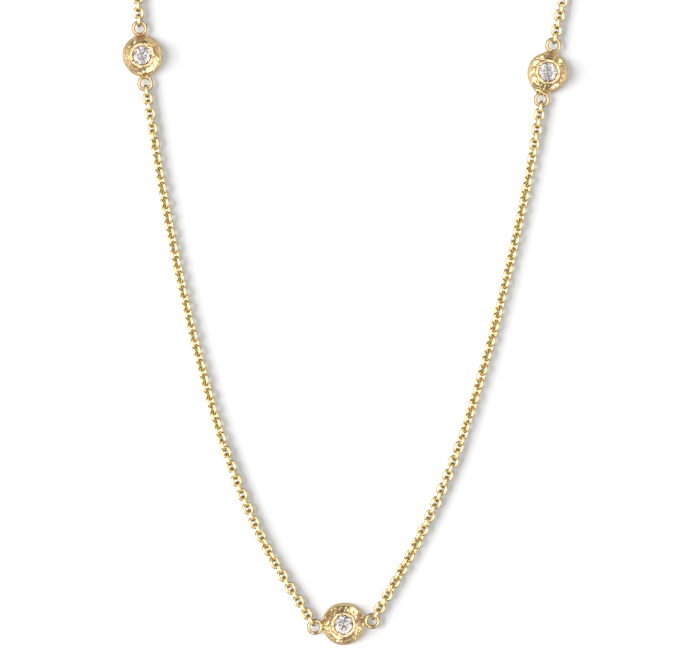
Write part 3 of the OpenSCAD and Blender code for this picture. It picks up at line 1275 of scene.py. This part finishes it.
@dataclass(frozen=True)
class Studio:
    """Camera, lights and white card of a product photograph taken from straight above.

    Attributes:
        aim: Middle of the picture on the card, in millimetres.
        width: Width of the picture on the card.
        distance: Height of the camera.
        sensor: Width of the camera's sensor.
        sun: Strength of the main light.
        sun_height: Its height over the card, in degrees.
        sun_width: How wide the main light looks, in degrees.
        overhead: Strength of the light over the middle.
        overhead_width: How wide that light looks, in degrees.
        fill: Strength of the soft light that the card gets from all round.
        fill_tint: Colour of that light.
        glow: Strength of the walls that the gold and the stones mirror.
        panels: Bright panels that the gold and the stones mirror.
        card_size: Half the width of the card.
        card_drop: How far the card lies under the necklace.
    """

    aim: tuple[float, float] = (0.9, 40.5)
    width: float = 97.2
    distance: float = 600.0
    sensor: float = 36.0
    sun: float = 4.3
    sun_height: float = 36.0
    sun_width: float = 45.0
    overhead: float = 0.95
    overhead_width: float = 14.0
    fill: float = 0.1
    fill_tint: Colour = (0.9, 1, 1.15)
    glow: float = 1.24
    panels: tuple[Panel, ...] = (
        Panel(180, 58, 24, 1.3, 8), Panel(0, 58, 24, 1.2, 8), Panel(180, 30, 8, 1.4, 4),
        Panel(180, -18, 30, 0.35, 14), Panel(0, -18, 30, 0.25, 14),
        Panel(50, 20, 14, 2.4), Panel(-50, 20, 14, 2.4), Panel(136, 22, 12, 2.2),
        Panel(208, 20, 15, 2.2), Panel(-24, 20, 10, 2.2), Panel(250, 20, 10, 2.2),
        Panel(-15, 58, 6, 3.0), Panel(65, 60, 6, 3.5), Panel(165, 63, 6, 3.5),
        Panel(-105, 61, 6, 3.5),
    )
    card_size: float = 1500.0
    card_drop: float = 0.02

    def place_camera(self) -> None:
        """Put the camera over the necklace, looking straight down.

        Its lens is chosen so that the picture has its width on the card.
        """
        data = bpy.data.cameras.new("camera")
        data.sensor_width = self.sensor
        data.lens = self.sensor * self.distance / self.width
        camera = shown("camera", data)
        camera.location = (self.aim[0] * MM, self.aim[1] * MM, self.distance * MM)
        bpy.context.scene.camera = camera

    def hang_light(self, name: str, strength: float, height: float, width: float) -> None:
        """Hang a round light on the left. The gold and the stones mirror the panels instead.

        Args:
            name: Name of the light.
            strength: Its strength.
            height: Its height over the card, in degrees.
            width: How wide it looks, in degrees.
        """
        data = bpy.data.lights.new(name, "SUN")
        data.energy = strength
        data.angle = math.radians(width)
        light = shown(name, data)
        light.visible_glossy = False
        light.visible_transmission = False
        light.rotation_euler = (0, -math.radians(90 - height), 0)

    def wall_tone(self, graph: Graph, towards_wall: bpy.types.NodeSocket) -> bpy.types.NodeSocket:
        """Draw up the tone of the walls, from under the table to overhead.

        Args:
            graph: Nodes of the walls.
            towards_wall: Direction in which the wall is seen.

        Returns:
            The tone of the wall there.
        """
        axes = graph.add("ShaderNodeSeparateXYZ")
        graph.join(towards_wall, axes.inputs["Vector"])
        rise = graph.add("ShaderNodeMapRange", {"From Min": -1.0})
        graph.join(axes.outputs["Z"], rise.inputs["Value"])
        tones = graph.add("ShaderNodeValToRGB")
        stops = tones.color_ramp.elements
        stops.remove(stops[1])
        for level, part in enumerate(Wall):
            height, tone = part.value
            stop = stops.new((1 + height) / 2) if level else stops[0]
            stop.color = (tone, tone, tone, 1)
        graph.join(rise.outputs["Result"], tones.inputs["Fac"])
        return tones.outputs["Color"]

    def panel_light(
        self, graph: Graph, towards_wall: bpy.types.NodeSocket, panel: Panel
    ) -> bpy.types.NodeSocket:
        """Draw up the light of one panel.

        Args:
            graph: Nodes of the walls.
            towards_wall: Direction in which the wall is seen.
            panel: The panel.

        Returns:
            The panel's light there, which is nought outside it.
        """
        aim = graph.add("ShaderNodeVectorMath", {1: towards(90 - panel.height, panel.angle)})
        aim.operation = "DOT_PRODUCT"
        graph.join(towards_wall, aim.inputs[0])
        edge = graph.add("ShaderNodeMapRange", {
            "From Min": math.cos(math.radians(panel.radius + panel.softness)),
            "From Max": math.cos(math.radians(panel.radius - panel.softness)),
            "To Max": panel.glow,
        })
        edge.interpolation_type = "SMOOTHSTEP"
        graph.join(aim.outputs["Value"], edge.inputs["Value"])
        return edge.outputs["Result"]

    def paint_walls(self) -> None:
        """Make the walls and the ceiling, which are dimmer low down and overhead.

        The card gets an even light from all round instead of the walls' own.
        """
        world = bpy.data.worlds.new("studio")
        world.use_nodes = True
        bpy.context.scene.world = world
        graph = Graph(world.node_tree)
        towards_wall = graph.add("ShaderNodeTexCoord").outputs["Generated"]
        light = self.wall_tone(graph, towards_wall)
        for panel in self.panels:
            both = graph.add("ShaderNodeVectorMath")
            both.operation = "ADD"
            graph.join(light, both.inputs[0])
            graph.join(self.panel_light(graph, towards_wall, panel), both.inputs[1])
            light = both.outputs["Vector"]
        walls, output = (world.node_tree.nodes[name] for name in ("Background", "World Output"))
        walls.inputs["Strength"].default_value = self.glow
        graph.join(light, walls.inputs["Color"])
        even = graph.add(
            "ShaderNodeBackground", {"Strength": self.fill, "Color": (*self.fill_tint, 1)})
        ray = graph.add("ShaderNodeLightPath")
        either = graph.add("ShaderNodeMixShader")
        graph.join(ray.outputs["Is Diffuse Ray"], either.inputs[0])
        graph.join(walls.outputs["Background"], either.inputs[1])
        graph.join(even.outputs["Background"], either.inputs[2])
        graph.join(either.outputs["Shader"], output.inputs["Surface"])

    def lay_card(self) -> None:
        """Lay the white card under the necklace, a little lower than its lowest point."""
        bm = bmesh.new()
        bmesh.ops.create_grid(
            bm, x_segments=1, y_segments=1, size=self.card_size * MM,
            matrix=Matrix.Translation((0, 0, -self.card_drop * MM)),
        )
        card = shown("card", as_mesh("card", bm))
        card.data.materials.append(CardFinish().make())
        card.visible_glossy = False

    def build(self) -> None:
        """Set up the whole studio, with colours shown as they are lit."""
        self.place_camera()
        self.hang_light("main_light", self.sun, self.sun_height, self.sun_width)
        self.hang_light("overhead_light", self.overhead, 90, self.overhead_width)
        self.paint_walls()
        self.lay_card()
        bpy.context.scene.view_settings.view_transform = "Standard"
        log.info("studio: ready")


@dataclass
class Necklace:
    """The whole piece: three stations, four stretches of chain and the clasp.

    Attributes:
        closure: The clasp and the end ring.
    """

    closure: Closure = field(default_factory=Closure)

    def chains(self) -> list[LinkChain]:
        """Lay out the chain, with its turns as the photograph shows them.

        Returns:
            The four stretches of chain.
        """
        left_turns = [
            (0, 0), (0.04, 0), (0.12, 42), (0.61, 45), (0.70, 2), (0.79, -3), (0.85, -34),
            (0.92, -2), (1, 0),
        ]
        right_turns = [
            (0, 0), (0.04, 0), (0.12, -42), (0.60, -45), (0.69, -3), (0.78, 4), (0.84, 38),
            (0.92, 34), (1, 2),
        ]
        back_turns = [
            (0, 0), (0.03, 0), (0.09, 42), (0.62, 40), (0.72, 2), (0.82, -40), (0.93, -42),
            (0.97, 0), (1, 0),
        ]
        front_left = Route([
            LEFT.loop(-1), (-25.35, 61.5), (-22.8, 48.5), (-19.7, 35.5), (-16, 23), (-10.9, 11),
            CENTRE.loop(-1),
        ])
        front_right = Route([
            RIGHT.loop(-1), (25.45, 61), (22.6, 48), (19.4, 35.5), (15.4, 23), (10, 11),
            CENTRE.loop(1),
        ])
        back_left = Route([
            LEFT.loop(1), (-29.2, 94), (-32.3, 107), (-35.3, 120), (-35.75, 134.5), (-31.5, 149),
            (-21.5, 162), self.closure.eye,
        ])
        back_right = Route([
            RIGHT.loop(1), (31.8, 93), (35.2, 106), (38, 119.5), (38.55, 134.5), (34.3, 149),
            (24.3, 162), self.closure.chain_end,
        ], climb=self.closure.end_z - LOOP_Z)
        return [
            LinkChain("front_left", front_left, left_turns, seed=11),
            LinkChain("front_right", front_right, right_turns, seed=12),
            LinkChain("back_left", back_left, back_turns, seed=13),
            LinkChain("back_right", back_right, back_turns, seed=14),
        ]

    def stations(self) -> list[Station]:
        """Lay out the stations, with the flats and marks that the photograph shows on them.

        Returns:
            The three stations.
        """
        left = Station(
            LEFT, seed=21, swells=[Swell(96, 0.4), Swell(276, 0.36)],
            flats=[
                Flat(100, 46, 1.9), Flat(133, 44, 1.75), Flat(165, 46, 1.85), Flat(196, 43, 1.72),
                Flat(228, 45, 1.8), Flat(262, 43, 1.72), Flat(305, 34, 1.62), Flat(335, 35, 1.66),
                Flat(5, 43, 1.78), Flat(35, 49, 1.98), Flat(66, 50, 1.98),
            ],
            nicks=[
                Nick(1.0, 0.95, -48, 0.35, 0.08, 0.1), Nick(1.5, 0.25, 70),
                Nick(1.95, -0.1, 20, 0.2), Nick(1.0, -0.95, -50, 0.18, 0.09, 0.1),
                Nick(-1.9, 0.2, -60), Nick(-2.1, -0.4, -55, 0.4), Nick(-0.45, -1.75, 5, 0.3),
                Nick(1.75, -0.35, 30, 0.15, 0.09, 0.1),
            ],
        )
        centre = Station(
            CENTRE, seed=22, swells=[Swell(6, 0.28, 14), Swell(186, 0.32, 14)],
            flats=[
                Flat(148, 44, 1.74), Flat(118, 44, 1.85), Flat(101, 36, 1.75), Flat(80, 38, 1.75),
                Flat(54, 34, 1.64), Flat(24, 45, 1.8), Flat(-8, 43, 1.76), Flat(-38, 44, 1.76),
                Flat(-74, 42, 1.72), Flat(-111, 35, 1.68), Flat(-160, 42, 1.82),
                Flat(184, 37, 1.78),
            ],
            nicks=[
                Nick(1.85, -0.7, 60, 0.3, 0.08, 0.1), Nick(2.6, -1.1, 58, 0.3, 0.07),
                Nick(0.35, 2.2, 60, 0.2), Nick(0.85, 1.85, -60, 0.35, 0.08, 0.1),
                Nick(-1.9, -0.6, 60, 0.4), Nick(-1.2, -1.95, -20, 0.5), Nick(-0.5, 2.2, 65, 0.35),
                Nick(-2.2, -0.9, 50, 0.3), Nick(-1.5, 0.4, 70, 0.3, 0.07, 0.09),
            ],
        )
        right = Station(
            RIGHT, seed=23, swells=[Swell(78), Swell(254, 0.4, 22), Swell(228, 0.14, 25)],
            flats=[
                Flat(133, 34, 1.62), Flat(166, 44, 1.85), Flat(196, 34, 1.64), Flat(234, 34, 1.64),
                Flat(268, 37, 1.76), Flat(306, 44, 1.74), Flat(340, 45, 1.82), Flat(8, 43, 1.76),
                Flat(43, 44, 1.72), Flat(78, 45, 1.9), Flat(100, 40, 1.85),
            ],
            nicks=[
                Nick(-1.7, 0.85, 10, 0.3, 0.09, 0.11), Nick(-1.75, -1.3, -55, 0.35),
                Nick(-1.2, -1.7, -40, 0.25), Nick(0.6, -2.0, 35, 0.45), Nick(1.9, 0.3, 30, 0.3),
                Nick(2.0, -0.7, 60, 0.25, 0.09, 0.09), Nick(-0.3, 1.25, 0, 0.25, 0.08, 0.06),
            ],
        )
        return [left, centre, right]

    def build(self) -> None:
        """Build and dress every piece: the chain, the stations with their stones, the clasp."""
        chain_gold, station_gold, clasp_gold = (gold.value.make() for gold in Gold)
        for chain in self.chains():
            chain.build(chain_gold)
        stone = StoneFinish().make()
        for station in self.stations():
            station.build(station_gold)
            station.dress_stone(stone)
        self.closure.build_clasp(clasp_gold)
        self.closure.build_end_ring(clasp_gold)


def main() -> None:
    """Build the studio and the necklace."""
    logging.basicConfig(level=logging.INFO, format="%(name)s: %(message)s")
    Studio().build()
    Necklace().build()


if __name__ == "__main__":
    main()
